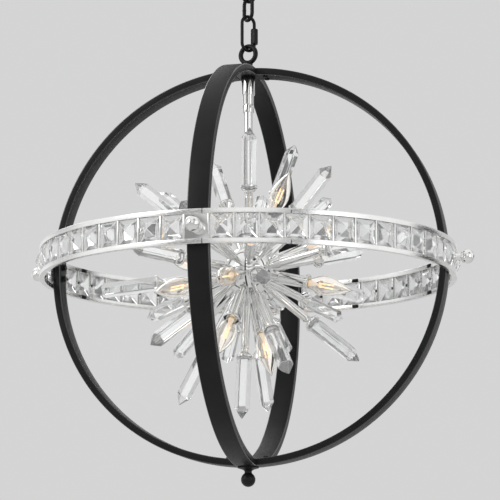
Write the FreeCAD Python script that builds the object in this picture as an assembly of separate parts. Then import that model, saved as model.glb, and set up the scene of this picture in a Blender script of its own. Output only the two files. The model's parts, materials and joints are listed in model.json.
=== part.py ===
import FreeCAD, Part

import math
import os

# Orb chandelier: two upright black hoops crossing at their poles, a level band of
# square crystals outside them, and a starburst of lamps and crystal spikes at the
# centre, hung by a quick link and a chain from a ceiling canopy.
# Millimetres, +Z up. The origin is the middle of the ceiling box screws, on the ceiling.
# The first hoop stands in the YZ plane and the second in the XZ plane.
# A direction is a turn about Z, from -Y towards +X, and a rise above the level.

V = FreeCAD.Vector
UP = V(0, 0, 1)
RIGHT = V(1, 0, 0)
BACK = V(0, 1, 0)

# ---------------------------------------------------------------- driving dimensions

# Ceiling fitting
canopy_radius = 65.0
canopy_height = 28.0
canopy_lip = 4.0
canopy_wall = 1.2
canopy_nose_radius = 16.0
crossbar_length = 112.0
crossbar_width = 20.0
crossbar_thickness = 2.5
box_screw_spacing = 80.0
box_slot_width = 5.0
box_slot_length = 24.0
ground_screw_radius = 2.5
ground_screw_head_radius = 4.6
ground_screw_head_height = 3.0
ground_screw_offset = 16.0
nipple_radius = 5.0
nipple_bore_radius = 3.4
nipple_nut_across_flats = 16.0
nipple_nut_height = 4.0
lock_ring_radius = 13.0
lock_ring_height = 6.0
canopy_boss_radius = 10.0
canopy_boss_height = 11.0
canopy_loop_outer_radius = 19.0
canopy_loop_wire_radius = 3.5
boss_overlap = 4.5

# Chain, quick link and loop
chain_length = 50.0
chain_width = 33.0
chain_wire_radius = 3.5
quick_link_length = 71.0
quick_link_width = 33.0
quick_link_wire_radius = 3.0
quick_link_gap = 5.0
quick_link_gap_offset = 3.0
quick_link_turn = 47.0
sleeve_length = 29.0
sleeve_across_flats = 13.0
sleeve_clearance = 0.08
sleeve_start = 0.4
sleeve_chamfer = 1.6
wire_clearance = 0.3
orb_loop_outer_radius = 20.0
orb_loop_wire_radius = 4.5
orb_loop_turn = -16.0
orb_boss_radius = 8.5
orb_boss_height = 15.0
orb_flange_radius = 14.0
orb_flange_height = 3.0
orb_stud_radius = 5.0
orb_stud_grip = 16.0

# Hoops
hoop_outer_radius = 365.0
hoop_width = 38.0
hoop_thickness = 13.0
hoop_wall = 1.5
strap_length = 92.0
strap_width = 32.0
strap_thickness = 6.0
strap_clearance = 0.5
strap_window_clearance = 0.2
strap_screw_offset = 34.0
strap_screw_pitch = 16.0
strap_screw_radius = 2.5
strap_screw_head_radius = 4.5
strap_screw_head_height = 2.6

# Finial under the lower pole
finial_ball_radius = 13.0
finial_dish_radius = 19.5
finial_dish_rim = 2.0
finial_dish_height = 7.0
finial_neck_radius = 7.0
finial_neck_height = 2.5
finial_stud_radius = 4.0
finial_nut_across_flats = 13.0
finial_nut_height = 6.0

# Crystal band
band_height = 59.0
rim_height = 8.5
rim_depth = 10.0
rim_clearance = 2.0
rim_seam_turn = 1.6
rim_seam_gap = 0.5
cells_per_quadrant = 14
bar_width = 3.0
bar_inset = 1.0
crystal_clearance = 0.15
crystal_back_inset = 2.0
crystal_bevel = 4.0
crystal_back_depth = 2.0
crystal_girdle = 3.0
crystal_point_height = 10.5
plate_thickness = 2.0
plate_recess = 2.0
block_height = 32.0
block_width = 16.0
block_bolt_offset = 10.5
block_bolt_radius = 3.0
block_bolt_grip = 6.0
block_bolt_across_flats = 10.0
block_bolt_head_height = 5.0
block_washer_radius = 6.5
block_washer_height = 1.5
ball_radius = 13.0
ball_neck_length = 8.0
ball_neck_radius = 6.0
ball_flange_radius = 11.0
ball_flange_height = 3.0
ball_stud_radius = 3.0

# Stem
stem_lock_ring_radius = 13.0
stem_lock_ring_height = 6.0
coupling_radius = 12.2
coupling_length = 28.0
coupling_step_radius = 10.4
coupling_step_length = 18.0
coupling_groove_radius = 7.8
coupling_groove_length = 2.0
coupling_ring_radius = 10.8
coupling_ring_length = 13.0
stem_radius = 8.2
stem_bore_radius = 5.5
hub_collar_radius = 12.5
hub_collar_height = 14.0

# Hub and starburst
hub_drop = 11.0
hub_radius = 45.0
hub_wall = 4.0
tie_rod_radius = 4.0
spike_root_radius = 5.0
spike_rod_radius = 7.7
spike_root_end = 52.0
spike_swell_end = 70.0
spike_rod_end = 151.0
spike_neck_radius = 6.0
cup_start = 155.0
cup_radius = 15.5
cup_lip = 2.0
prism_start = 168.0
prism_across_flats = 24.0
prism_body_length = 94.0
prism_tip_length = 21.0
prism_seat_taper = 1.5
arm_radius = 6.0
arm_bore_radius = 4.0
candle_start = 60.0
candle_end = 114.0
candle_radius = 11.0
candle_wall = 1.0
candle_base_thickness = 2.0
drip_ring_radius = 15.5
drip_ring_start = 109.0
drip_ring_end = 117.0
drip_ring_edge = 2.0
socket_start = 70.0
socket_floor_height = 90.0
socket_end = 112.0
bulb_cap_radius = 7.0
bulb_collar_radius = 9.0
glass_start = 118.0
glass_length = 80.0
glass_radius = 17.5
glass_neck_radius = 9.0
glass_wall = 0.9
filament_post_radius = 2.0
filament_post_length = 22.0
filament_radius = 1.2
filament_length = 24.0
filament_spread = 3.4

# Directions of the starburst's pieces: (turn, rise) in degrees, read from the photograph
# where they show and spaced evenly where they don't.
upper_spikes = [(14, 54), (51, 33), (146, 65), (149, 37), (-174, 41), (-140, 57), (-117, 39), (-93, 39)]
middle_spikes = [
    (73, 9), (140, 14), (140, -4), (153, -11), (180, -4), (-144, -8), (-123, -11),
    (-75, -8), (-33, 2), (-12, 16), (19, -12),
]
lower_spikes = [
    (76, -39), (35, -48), (139, -29), (3, -77), (-33, -34), (-115, -55), (-133, -27),
    (-157, -28), (176, -24), (179, -58),
]
lamps = [
    (-2, -13), (84, -77), (-14, -56), (87, -13), (62, 60), (-140, 32), (-48, -16),
    (-116, 14), (-160, 8), (16, 20), (168, 16), (105, 22),
]

# ---------------------------------------------------------------- derived places

chain_turn_lower = quick_link_turn + 90.0
chain_turn_upper = quick_link_turn
canopy_loop_turn = chain_turn_upper + 90.0

canopy_bottom = -canopy_height
lock_ring_bottom = canopy_bottom - lock_ring_height
canopy_boss_bottom = lock_ring_bottom - canopy_boss_height
canopy_loop_centre = canopy_boss_bottom - canopy_loop_outer_radius + boss_overlap
canopy_loop_wire = canopy_loop_centre - canopy_loop_outer_radius + canopy_loop_wire_radius

upper_link_top = canopy_loop_wire + canopy_loop_wire_radius + chain_wire_radius + wire_clearance
chain_reach = chain_length - 2 * chain_wire_radius
upper_link_bottom = upper_link_top - chain_reach
lower_link_top = upper_link_bottom + 2 * chain_wire_radius + wire_clearance
lower_link_bottom = lower_link_top - chain_reach
quick_link_reach = quick_link_length - 2 * quick_link_wire_radius
quick_link_top = lower_link_bottom + chain_wire_radius + quick_link_wire_radius + wire_clearance
quick_link_bottom = quick_link_top - quick_link_reach
quick_link_centre = (quick_link_top + quick_link_bottom) / 2
quick_link_leg = (quick_link_width - 2 * quick_link_wire_radius) / 2
quick_link_straight = quick_link_length - quick_link_width
sleeve_bottom = quick_link_centre - quick_link_straight / 2 + sleeve_start

orb_loop_wire = quick_link_bottom + quick_link_wire_radius + orb_loop_wire_radius + wire_clearance
orb_loop_centre = orb_loop_wire + orb_loop_wire_radius - orb_loop_outer_radius
orb_flange_bottom = orb_loop_centre - orb_loop_outer_radius + boss_overlap - orb_boss_height
orb_centre_z = orb_flange_bottom - hoop_outer_radius
ORB = V(0, 0, orb_centre_z)
HUB = V(0, 0, orb_centre_z - hub_drop)

hoop_inner_radius = hoop_outer_radius - hoop_thickness
stud_end_z = hoop_inner_radius - orb_stud_grip
strap_inner_z = hoop_inner_radius + hoop_wall + strap_clearance
strap_screw_seat = math.sqrt(hoop_inner_radius ** 2 - strap_screw_offset ** 2)

rim_inner_radius = hoop_outer_radius + rim_clearance
rim_outer_radius = rim_inner_radius + rim_depth
cell_height = band_height - 2 * rim_height
cell_count = 4 * cells_per_quadrant
cell_pitch = 360.0 / cell_count
half_pitch = math.radians(cell_pitch / 2)
crystal_back = rim_inner_radius + crystal_back_inset
crystal_girdle_back = crystal_back + crystal_back_depth
crystal_girdle_front = crystal_girdle_back + crystal_girdle
crystal_apex = crystal_girdle_front + crystal_point_height
crystal_half_width = (
    crystal_girdle_back * math.tan(half_pitch) - bar_width / 2 / math.cos(half_pitch) - crystal_clearance
)
crystal_half_height = cell_height / 2
plate_outer_radius = rim_outer_radius - plate_recess
plate_inner_radius = plate_outer_radius - plate_thickness
ball_flange_end = plate_outer_radius + ball_flange_height
ball_centre_radius = ball_flange_end + ball_neck_length + ball_radius

coupling_top = hoop_inner_radius - stem_lock_ring_height
coupling_bottom = (
    coupling_top - coupling_length - coupling_step_length - coupling_groove_length - coupling_ring_length
)
stem_grip = coupling_ring_length - 1.0
candle_bore_radius = candle_radius - candle_wall
parts = {}


# ---------------------------------------------------------------- shape helpers

def add(name, *shapes):
    """Keep the solids of one node."""
    solids = []
    for shape in shapes:
        solids += shape.Solids
    parts[name] = Part.makeCompound(solids)


def rod(radius, low, high, centre=V(0, 0, 0)):
    """Upright cylinder from height low to height high."""
    return Part.makeCylinder(radius, high - low, centre + V(0, 0, low))


def tube(outer, inner, low, high, centre=V(0, 0, 0)):
    return rod(outer, low, high, centre).cut(rod(inner, low, high, centre))


def turned(profile):
    """Solid turned about Z from (radius, height) points, closed along the axis."""
    points = [V(radius, 0, height) for radius, height in profile]
    wire = Part.makePolygon(points + [points[0]])
    return Part.Face(wire).revolve(V(0, 0, 0), UP, 360)


def polygon(sides, across_flats, height):
    """Corner points of a level regular polygon."""
    radius = across_flats / 2 / math.cos(math.pi / sides)
    corners = []
    for index in range(sides):
        angle = 2 * math.pi * index / sides
        corners.append(V(radius * math.cos(angle), radius * math.sin(angle), height))
    return corners


def stacked(loops, tip=None):
    """Closed solid through loops of corner points, with an optional pointed end."""
    count = len(loops[0])
    faces = [Part.Face(Part.makePolygon(loops[0] + [loops[0][0]]))]
    for low, high in zip(loops, loops[1:]):
        for i in range(count):
            j = (i + 1) % count
            faces.append(Part.Face(Part.makePolygon([low[i], low[j], high[j], high[i], low[i]])))
    last = loops[-1]
    if tip is None:
        faces.append(Part.Face(Part.makePolygon(last + [last[0]])))
    else:
        for i in range(count):
            j = (i + 1) % count
            faces.append(Part.Face(Part.makePolygon([last[i], last[j], tip, last[i]])))
    solid = Part.Solid(Part.Shell(faces))
    if solid.Volume < 0:
        solid.reverse()
    return solid


def hexagon(across_flats, low, high):
    return stacked([polygon(6, across_flats, low), polygon(6, across_flats, high)])


def ring_about(axis, centre, outer, inner, width):
    """Ring of rectangular section about a level axis."""
    start = centre - axis * (width / 2)
    return Part.makeCylinder(outer, width, start, axis).cut(Part.makeCylinder(inner, width, start, axis))


def wire_loop(length, width, wire_radius):
    """Closed loop of round wire in the XZ plane, centred on the origin, with straight sides."""
    leg = width / 2 - wire_radius
    straight = (length - width) / 2
    disc = Part.Face(Part.Wire(Part.makeCircle(wire_radius, V(leg, 0, straight), UP)))
    top = disc.revolve(V(0, 0, straight), BACK, -180)
    disc = Part.Face(Part.Wire(Part.makeCircle(wire_radius, V(leg, 0, -straight), UP)))
    bottom = disc.revolve(V(0, 0, -straight), BACK, 180)
    pieces = [bottom]
    if straight > 0:
        pieces.append(rod(wire_radius, -straight, straight, V(leg, 0, 0)))
        pieces.append(rod(wire_radius, -straight, straight, V(-leg, 0, 0)))
    return top.fuse(pieces).removeSplitter()


def spin(shape, degrees):
    """Copy of a shape turned about Z."""
    copy = shape.copy()
    copy.rotate(V(0, 0, 0), UP, degrees)
    return copy


def raised(shape, height):
    copy = shape.copy()
    copy.translate(V(0, 0, height))
    return copy


def outward(shape, degrees):
    """Copy of a shape built along Z, laid along +X at the orb's centre and turned about Z."""
    copy = shape.copy()
    copy.rotate(V(0, 0, 0), BACK, 90)
    copy.rotate(V(0, 0, 0), UP, degrees)
    copy.translate(ORB)
    return copy


def aimed(shape, direction):
    """Copy of a shape built along Z, pointed from the hub along a (turn, rise) direction."""
    turn, rise = math.radians(direction[0]), math.radians(direction[1])
    way = V(math.sin(turn) * math.cos(rise), -math.cos(turn) * math.cos(rise), math.sin(rise))
    copy = shape.copy()
    copy.Placement = FreeCAD.Placement(HUB, FreeCAD.Rotation(UP, way)).multiply(copy.Placement)
    return copy


def burst(shape, directions):
    return [aimed(shape, direction) for direction in directions]


# ---------------------------------------------------------------- ceiling fitting

def dome(radius, height):
    """Solid dome hanging from the ceiling, with an upright lip and a flat nose."""
    edge = V(radius, 0, -canopy_lip)
    nose = V(canopy_nose_radius, 0, -height)
    reach = radius - canopy_nose_radius
    rise = height - canopy_lip
    curve_radius = (reach ** 2 + rise ** 2) / 2 / rise
    half_angle = math.asin(reach / curve_radius) / 2
    middle = V(
        canopy_nose_radius + curve_radius * math.sin(half_angle),
        0,
        -height + curve_radius * (1 - math.cos(half_angle)),
    )
    edges = [
        Part.makeLine(V(0, 0, 0), V(radius, 0, 0)),
        Part.makeLine(V(radius, 0, 0), edge),
        Part.Arc(edge, middle, nose).toShape(),
        Part.makeLine(nose, V(0, 0, -height)),
        Part.makeLine(V(0, 0, -height), V(0, 0, 0)),
    ]
    return Part.Face(Part.Wire(edges)).revolve(V(0, 0, 0), UP, 360)


def make_canopy():
    shell = dome(canopy_radius, canopy_height).cut(dome(canopy_radius - canopy_wall, canopy_height - canopy_wall))
    return shell.cut(rod(nipple_radius, -canopy_height - 1, 0))


def slot_cutter(centre_x):
    """Upright slot through the crossbar, rounded at both ends."""
    half = (box_slot_length - box_slot_width) / 2
    low, high = -crossbar_thickness - 1, 1
    block = Part.makeBox(2 * half, box_slot_width, high - low, V(centre_x - half, -box_slot_width / 2, low))
    ends = [rod(box_slot_width / 2, low, high, V(centre_x + side * half, 0, 0)) for side in (-1, 1)]
    return block.fuse(ends)


def make_crossbar():
    bar = Part.makeBox(
        crossbar_length,
        crossbar_width,
        crossbar_thickness,
        V(-crossbar_length / 2, -crossbar_width / 2, -crossbar_thickness),
    )
    for side in (-1, 1):
        bar = bar.cut(slot_cutter(side * box_screw_spacing / 2))
    bar = bar.cut(rod(nipple_radius, -crossbar_thickness - 1, 1))
    return bar.cut(rod(ground_screw_radius, -crossbar_thickness - 1, 1, V(ground_screw_offset, 0, 0)))


def make_ground_screw():
    place = V(ground_screw_offset, 0, 0)
    head = rod(
        ground_screw_head_radius, -crossbar_thickness - ground_screw_head_height, -crossbar_thickness, place
    )
    return head.fuse(rod(ground_screw_radius, -crossbar_thickness, 0, place)).removeSplitter()


def make_canopy_loop():
    ring = raised(wire_loop(2 * canopy_loop_outer_radius, 2 * canopy_loop_outer_radius, canopy_loop_wire_radius),
                  canopy_loop_centre)
    boss = rod(canopy_boss_radius, canopy_boss_bottom, lock_ring_bottom)
    hole = rod(nipple_radius, canopy_boss_bottom + boss_overlap, lock_ring_bottom)
    return spin(ring, canopy_loop_turn).fuse(boss).cut(hole).removeSplitter()


def make_ceiling_fitting():
    nut = hexagon(nipple_nut_across_flats, -crossbar_thickness - nipple_nut_height, -crossbar_thickness)
    nipple_end = canopy_boss_bottom + boss_overlap
    add("ceiling_canopy", make_canopy())
    add("mounting_crossbar", make_crossbar())
    add("ground_screw", make_ground_screw())
    add("hanging_nipple", tube(nipple_radius, nipple_bore_radius, nipple_end, 0))
    add("nipple_lock_nut", nut.cut(rod(nipple_radius, -crossbar_thickness - nipple_nut_height, 0)))
    add("canopy_lock_ring", tube(lock_ring_radius, nipple_radius, lock_ring_bottom, canopy_bottom))
    add("canopy_loop", make_canopy_loop())


# ---------------------------------------------------------------- chain and quick link

def make_chain():
    link = wire_loop(chain_length, chain_width, chain_wire_radius)
    upper = raised(link, (upper_link_top + upper_link_bottom) / 2)
    lower = raised(link, (lower_link_top + lower_link_bottom) / 2)
    add("chain_link_upper", spin(upper, chain_turn_upper))
    add("chain_link_lower", spin(lower, chain_turn_lower))


def make_quick_link():
    """Oval link with a gap in one leg, which the screw sleeve closes."""
    link = wire_loop(quick_link_length, quick_link_width, quick_link_wire_radius)
    gap_low = -quick_link_straight / 2 + quick_link_gap_offset
    leg = V(quick_link_leg, 0, 0)
    link = link.cut(rod(quick_link_wire_radius + 1, gap_low, gap_low + quick_link_gap, leg))
    add("quick_link", spin(raised(link, quick_link_centre), quick_link_turn))

    low, high = sleeve_bottom, sleeve_bottom + sleeve_length
    corner = sleeve_across_flats / 2 / math.cos(math.pi / 6)
    blank = turned([
        (0, low), (corner - sleeve_chamfer, low), (corner, low + sleeve_chamfer),
        (corner, high - sleeve_chamfer), (corner - sleeve_chamfer, high), (0, high),
    ])
    sleeve = blank.common(hexagon(sleeve_across_flats, low, high))
    sleeve = sleeve.cut(rod(quick_link_wire_radius + sleeve_clearance, low, high))
    sleeve.translate(leg)
    add("quick_link_sleeve", spin(sleeve, quick_link_turn))


def make_orb_loop():
    """Cast loop with its flange on the upper pole and its stud through the hoop."""
    ring = raised(
        wire_loop(2 * orb_loop_outer_radius, 2 * orb_loop_outer_radius, orb_loop_wire_radius), orb_loop_centre
    )
    boss_top = orb_flange_bottom + orb_boss_height
    boss = rod(orb_boss_radius, orb_flange_bottom, boss_top)
    flange = rod(orb_flange_radius, orb_flange_bottom, orb_flange_bottom + orb_flange_height)
    stud = rod(orb_stud_radius, orb_centre_z + stud_end_z, orb_flange_bottom)
    loop = spin(ring, orb_loop_turn).fuse([boss, flange, stud]).removeSplitter()
    add("orb_loop", loop)


# ---------------------------------------------------------------- hoops

def hoop_envelope(axis):
    return ring_about(axis, ORB, hoop_outer_radius, hoop_inner_radius, hoop_width)


def hollow(envelope, axis):
    """Rolled rectangular tube: the envelope without its inside."""
    return envelope.cut(
        ring_about(
            axis, ORB, hoop_outer_radius - hoop_wall, hoop_inner_radius + hoop_wall, hoop_width - 2 * hoop_wall
        )
    )


def bolt_holes(turn):
    """The two bolt holes where the band crosses a hoop."""
    holes = []
    for side in (-1, 1):
        hole = rod(block_bolt_radius, hoop_inner_radius - 1, hoop_outer_radius + 1, V(side * block_bolt_offset, 0, 0))
        holes.append(outward(hole, turn))
    return holes


def strap_screw_places():
    places = []
    for side in (-1, 1):
        for row in (-1, 1):
            places.append(V(side * strap_screw_offset, row * strap_screw_pitch / 2, 0))
    return places


def at_pole(shape, pole):
    """Move a shape built above the orb's centre to its upper or lower pole; pole is 1 or -1."""
    if pole < 0:
        shape.rotate(V(0, 0, 0), RIGHT, 180)
    shape.translate(ORB)
    return shape


def strap_screw(place, pole, envelope):
    """Screw through a half hoop's inner wall into the strap, its head seated on the curved wall."""
    head_end = strap_screw_seat - strap_screw_head_height
    head = at_pole(rod(strap_screw_head_radius, head_end, hoop_inner_radius, place), pole).cut(envelope)
    shank = at_pole(rod(strap_screw_radius, head_end, strap_inner_z + strap_thickness, place), pole)
    return head.fuse(shank).removeSplitter()


def strap_block(length, clearance):
    return Part.makeBox(
        length,
        strap_width + 2 * clearance,
        strap_thickness + 2 * clearance,
        V(-length / 2, -strap_width / 2 - clearance, strap_inner_z - clearance),
    )


def make_hoops():
    """The tubes, and the straps inside them that join the half hoops through the long hoop's windows."""
    long_envelope = hoop_envelope(RIGHT)
    cross_envelope = hoop_envelope(BACK)
    screws = [strap_screw(place, pole, cross_envelope) for pole in (1, -1) for place in strap_screw_places()]

    long_hoop = hollow(long_envelope, RIGHT)
    long_hoop = long_hoop.cut(bolt_holes(90) + bolt_holes(-90))
    long_hoop = long_hoop.cut(rod(orb_stud_radius, 0, hoop_outer_radius + 1, ORB))
    long_hoop = long_hoop.cut(rod(finial_stud_radius, -hoop_outer_radius - 1, 0, ORB))
    for pole in (1, -1):
        long_hoop = long_hoop.cut(at_pole(strap_block(hoop_width + 2, strap_window_clearance), pole))
    add("front_back_hoop", long_hoop)

    cross_hoop = hollow(cross_envelope, BACK).cut(bolt_holes(0) + bolt_holes(180) + screws)
    reach = hoop_outer_radius + 1
    for name, low, high in (("left_hoop", -reach, -hoop_width / 2), ("right_hoop", hoop_width / 2, reach)):
        half = Part.makeBox(high - low, hoop_width, 2 * reach, ORB + V(low, -hoop_width / 2, -reach))
        add(name, cross_hoop.common(half))

    for name, pole, bore_radius in (
        ("top_joint_strap", 1, orb_stud_radius), ("bottom_joint_strap", -1, finial_stud_radius),
    ):
        strap = at_pole(strap_block(strap_length, 0).cut(rod(bore_radius, 0, hoop_outer_radius)), pole)
        add(name, strap.cut(screws))
    add("joint_strap_screws", *screws)


def make_finial():
    """Dish, neck and ball under the lower pole, with a stud up to the nut inside."""
    dish_top = -hoop_outer_radius
    dish_bottom = dish_top - finial_dish_height
    ball_centre = dish_bottom - finial_neck_height - finial_ball_radius
    nut_bottom = -hoop_inner_radius
    nut_top = nut_bottom + finial_nut_height
    dish = turned([
        (0, dish_top), (finial_dish_radius, dish_top), (finial_dish_radius, dish_top - finial_dish_rim),
        (finial_neck_radius, dish_bottom), (0, dish_bottom),
    ])
    neck = rod(finial_neck_radius, ball_centre, dish_bottom)
    ball = Part.makeSphere(finial_ball_radius, V(0, 0, ball_centre))
    stud = rod(finial_stud_radius, dish_top, nut_top + 2)
    finial = dish.fuse([neck, ball, stud]).removeSplitter()
    nut = hexagon(finial_nut_across_flats, nut_bottom, nut_top).cut(rod(finial_stud_radius, nut_bottom, nut_top))
    finial.translate(ORB)
    nut.translate(ORB)
    add("finial", finial)
    add("finial_nut", nut.cut(hoop_envelope(RIGHT)))


# ---------------------------------------------------------------- crystal band

def rim_half(low, side):
    """Half of a rim, from the front seam round one side to the back seam."""
    gap = math.degrees(rim_seam_gap / rim_outer_radius)
    sweep = 180 - gap
    outer = Part.makeCylinder(rim_outer_radius, rim_height, ORB + V(0, 0, low), UP, sweep)
    inner = Part.makeCylinder(rim_inner_radius, rim_height, ORB + V(0, 0, low), UP, 360)
    start = -90 + rim_seam_turn + gap / 2
    if side < 0:
        start += 180
    return spin(outer.cut(inner), start)


def band_bar():
    """Upright bar between two cells, on +X."""
    depth = rim_depth - 2 * bar_inset
    return Part.makeBox(
        depth, bar_width, cell_height, ORB + V(rim_inner_radius + bar_inset, -bar_width / 2, -cell_height / 2)
    )


def crystal_loop(half_width, half_height, radius):
    return [
        ORB + V(radius, -half_width, -half_height),
        ORB + V(radius, half_width, -half_height),
        ORB + V(radius, half_width, half_height),
        ORB + V(radius, -half_width, half_height),
    ]


def band_crystal():
    """Square crystal on +X: bevelled back, girdle and a four-sided point outwards."""
    loops = [
        crystal_loop(crystal_half_width - crystal_bevel, crystal_half_height - crystal_bevel, crystal_back),
        crystal_loop(crystal_half_width, crystal_half_height, crystal_girdle_back),
        crystal_loop(crystal_half_width, crystal_half_height, crystal_girdle_front),
    ]
    return stacked(loops, ORB + V(crystal_apex, 0, 0))


def crossing_plate():
    """Curved plate that fills the cell in front of a hoop, drilled for the ball screw."""
    ring = tube(plate_outer_radius, plate_inner_radius, -cell_height / 2, cell_height / 2, ORB)
    half = plate_inner_radius * math.sin(half_pitch) - bar_width / 2 / math.cos(half_pitch)
    window = Part.makeBox(
        rim_outer_radius, 2 * half, cell_height, ORB + V(0, -half, -cell_height / 2)
    )
    return ring.common(window).cut(outward(rod(ball_stud_radius, 0, rim_outer_radius), 0))


def crossing_block(envelope):
    """Spacer between a hoop and its crossing plate, drilled for two bolts and the ball screw."""
    base = hoop_outer_radius - 2
    block = Part.makeBox(
        plate_inner_radius - base, block_width, block_height, ORB + V(base, -block_width / 2, -block_height / 2)
    )
    plate_back = tube(rim_outer_radius, plate_inner_radius, -block_height, block_height, ORB)
    return block.cut([envelope, plate_back, block_bolt(1), block_bolt(-1), ball_screw()])


def block_bolt(side):
    """Hex bolt from inside a hoop into the crossing block."""
    seat = hoop_inner_radius
    end = hoop_outer_radius + block_bolt_grip
    head_low = seat - block_washer_height - block_bolt_head_height
    head = hexagon(block_bolt_across_flats, head_low, seat - block_washer_height)
    washer = rod(block_washer_radius, seat - block_washer_height, seat)
    shank = rod(block_bolt_radius, seat - block_washer_height, end)
    bolt = head.fuse([washer, shank]).removeSplitter()
    bolt.translate(V(side * block_bolt_offset, 0, 0))
    return outward(bolt, 0)


def ball_screw():
    """Ball-headed screw: ball, neck and flange outside the plate, stud into the block."""
    flange_low = plate_outer_radius
    profile = [
        (0, hoop_outer_radius), (ball_stud_radius, hoop_outer_radius), (ball_stud_radius, flange_low),
        (ball_flange_radius, flange_low), (ball_flange_radius, ball_flange_end),
        (ball_neck_radius, ball_flange_end), (ball_neck_radius, ball_centre_radius), (0, ball_centre_radius),
    ]
    ball = Part.makeSphere(ball_radius, V(0, 0, ball_centre_radius))
    return outward(turned(profile).fuse(ball).removeSplitter(), 0)


def make_band():
    low, high = -band_height / 2, band_height / 2 - rim_height
    add("lower_rim_right", rim_half(low, 1))
    add("lower_rim_left", rim_half(low, -1))
    add("upper_rim_right", rim_half(high, 1))
    add("upper_rim_left", rim_half(high, -1))
    add("band_bars", *[spin(band_bar(), (cell + 0.5) * cell_pitch) for cell in range(cell_count)])

    crystal = band_crystal()
    for quadrant, name in enumerate(("back_right", "back_left", "front_left", "front_right")):
        first = quadrant * cells_per_quadrant
        cells = range(first + 1, first + cells_per_quadrant)
        add("band_crystals_" + name, *[spin(crystal, cell * cell_pitch) for cell in cells])

    envelope = hoop_envelope(BACK)
    plate = crossing_plate()
    plate = plate.cut(outward(rod(ball_flange_radius, plate_outer_radius, rim_outer_radius), 0))
    bolts = [block_bolt(side).cut(hoop_shadow(envelope)) for side in (-1, 1)]
    screw = ball_screw().cut(plate)
    block = crossing_block(envelope)
    turns = [0, 90, 180, 270]
    add("crossing_plates", *[spin(plate, turn) for turn in turns])
    add("crossing_blocks", *[spin(block, turn) for turn in turns])
    add("ball_screws", *[spin(screw, turn) for turn in turns])
    add("block_bolts", *[spin(bolt, turn) for turn in turns for bolt in bolts])


def hoop_shadow(envelope):
    """The hoop's envelope without its bolt holes, which trims the washers to the curved hoop."""
    return envelope.cut(bolt_holes(0))


# ---------------------------------------------------------------- stem and hub

def make_stem():
    step_top = coupling_top - coupling_length
    groove_top = step_top - coupling_step_length
    ring_top = groove_top - coupling_groove_length
    coupling = turned([
        (0, coupling_top), (coupling_radius, coupling_top), (coupling_radius, step_top),
        (coupling_step_radius, step_top), (coupling_step_radius, groove_top),
        (coupling_groove_radius, groove_top), (coupling_groove_radius, ring_top),
        (coupling_ring_radius, ring_top), (coupling_ring_radius, coupling_bottom), (0, coupling_bottom),
    ])
    coupling.translate(ORB)
    coupling = coupling.cut(rod(orb_stud_radius, stud_end_z, coupling_top, ORB))
    coupling = coupling.cut(rod(stem_bore_radius, coupling_bottom, stud_end_z, ORB))
    coupling = coupling.cut(rod(stem_radius, coupling_bottom, coupling_bottom + stem_grip, ORB))
    add("stem_coupling", coupling)
    lock_ring = tube(stem_lock_ring_radius, orb_stud_radius, coupling_top, hoop_inner_radius, ORB)
    add("stem_lock_ring", lock_ring.cut(hoop_envelope(RIGHT)))

    sphere = Part.makeSphere(hub_radius, HUB)
    hub_top = hub_radius - hub_drop
    stem_end = hub_top - hub_wall
    stem = tube(stem_radius, stem_bore_radius, stem_end, coupling_bottom + stem_grip, ORB)
    collar = tube(hub_collar_radius, stem_radius, stem_end, hub_top + hub_collar_height, ORB)
    add("stem_tube", stem)
    add("hub_collar", collar.cut(sphere))


def make_hub():
    """Two turned half shells held on a tie rod from the stem's end."""
    shell = Part.makeSphere(hub_radius, HUB).cut(Part.makeSphere(hub_radius - hub_wall, HUB))
    stem_end = orb_centre_z + hub_radius - hub_drop - hub_wall
    shell = shell.cut(rod(stem_radius, HUB.z, stem_end + 2 * hub_radius))
    half = Part.makeBox(2 * hub_radius, 2 * hub_radius, hub_radius, HUB + V(-hub_radius, -hub_radius, 0))
    floor = HUB.z - hub_radius + hub_wall
    add("hub_upper_shell", shell.common(half))
    add("hub_lower_shell", shell.cut(half))
    head_room = stem_end - floor
    tie = rod(tie_rod_radius, floor, floor + head_room + hub_wall)
    plug = rod(stem_bore_radius, stem_end, stem_end + hub_wall)
    inner_ball = Part.makeSphere(hub_radius - hub_wall, HUB)
    tie = tie.common(inner_ball.fuse(rod(tie_rod_radius, HUB.z, stem_end + hub_wall)))
    add("hub_tie_rod", tie.fuse(plug).removeSplitter())


# ---------------------------------------------------------------- starburst

def spike_rod():
    start = hub_radius - hub_wall
    return turned([
        (0, start), (spike_root_radius, start), (spike_root_radius, spike_root_end),
        (spike_rod_radius, spike_swell_end), (spike_rod_radius, spike_rod_end),
        (spike_neck_radius, cup_start), (0, cup_start),
    ])


def spike_cup():
    return turned([
        (0, cup_start), (spike_neck_radius, cup_start), (cup_radius, prism_start - cup_lip),
        (cup_radius, prism_start), (0, prism_start),
    ])


def spike_prism():
    """Six-sided crystal with a narrowed seat and a pointed end."""
    end = prism_start + prism_body_length
    loops = [
        polygon(6, prism_across_flats - 2 * prism_seat_taper, prism_start),
        polygon(6, prism_across_flats, prism_start + 2 * prism_seat_taper),
        polygon(6, prism_across_flats, end),
    ]
    return stacked(loops, V(0, 0, end + prism_tip_length))


def make_spikes():
    sphere = Part.makeSphere(hub_radius, HUB)
    tiers = (("upper", upper_spikes), ("middle", middle_spikes), ("lower", lower_spikes))
    for name, directions in tiers:
        add("spike_rods_" + name, *[piece.cut(sphere) for piece in burst(spike_rod(), directions)])
        add("spike_cups_" + name, *burst(spike_cup(), directions))
        add("spike_crystals_" + name, *burst(spike_prism(), directions))


def candle_sleeve():
    sleeve = rod(candle_radius, candle_start, candle_end)
    sleeve = sleeve.cut(rod(candle_bore_radius, candle_start + candle_base_thickness, candle_end))
    return sleeve.cut(rod(arm_bore_radius, candle_start, candle_end))


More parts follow.
